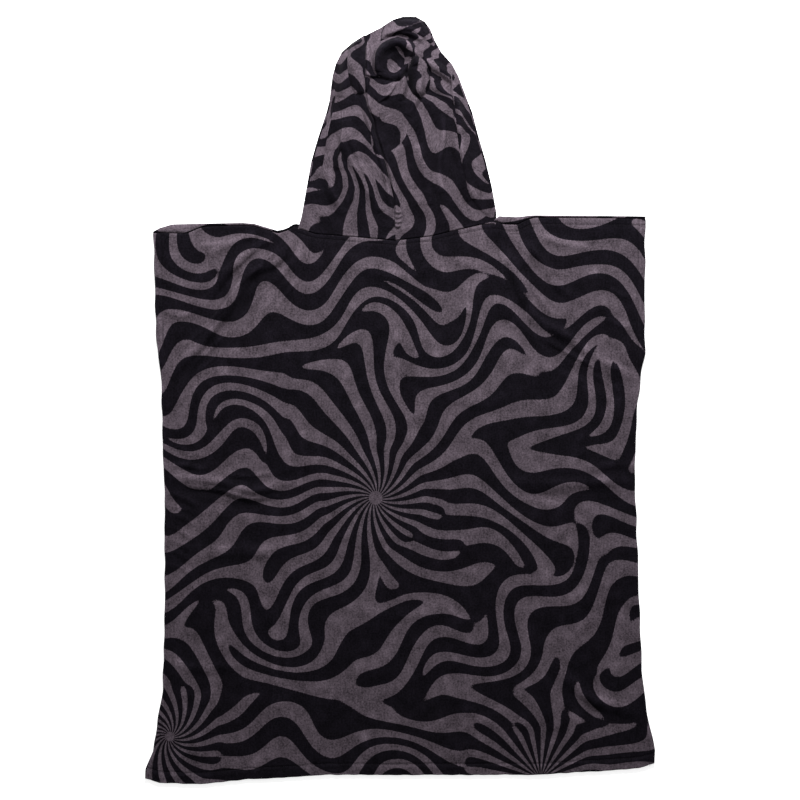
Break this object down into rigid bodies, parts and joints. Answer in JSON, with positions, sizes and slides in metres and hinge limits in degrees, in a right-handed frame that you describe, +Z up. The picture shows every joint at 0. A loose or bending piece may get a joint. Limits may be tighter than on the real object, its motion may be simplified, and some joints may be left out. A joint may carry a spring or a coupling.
{
  "type": "hooded bath poncho",
  "caption": "Sleeveless velour towelling poncho with a pointed hood and side vents, laid flat on its front with the back and the hood's centre seam uppermost.",
  "frame": {"origin": "middle of the laid-out garment's outline, on the surface that it lies on", "axes": "+Y from the bottom hem to the hood's crown, +Z up out of the surface, +X to the right of someone looking at the garment's back"},
  "size_m": [0.838, 1.2619, 0.0315],
  "materials": {
    "velour_towelling": "dense cut-pile cotton velour, matt with a faint sheen, printed with swirled near-black and mauve-grey bands"
  },
  "bodies": {
    "root": {"front_panel": "velour_towelling", "back_panel": "velour_towelling", "hood_left": "velour_towelling", "hood_right": "velour_towelling"}
  },
  "joints": []
}
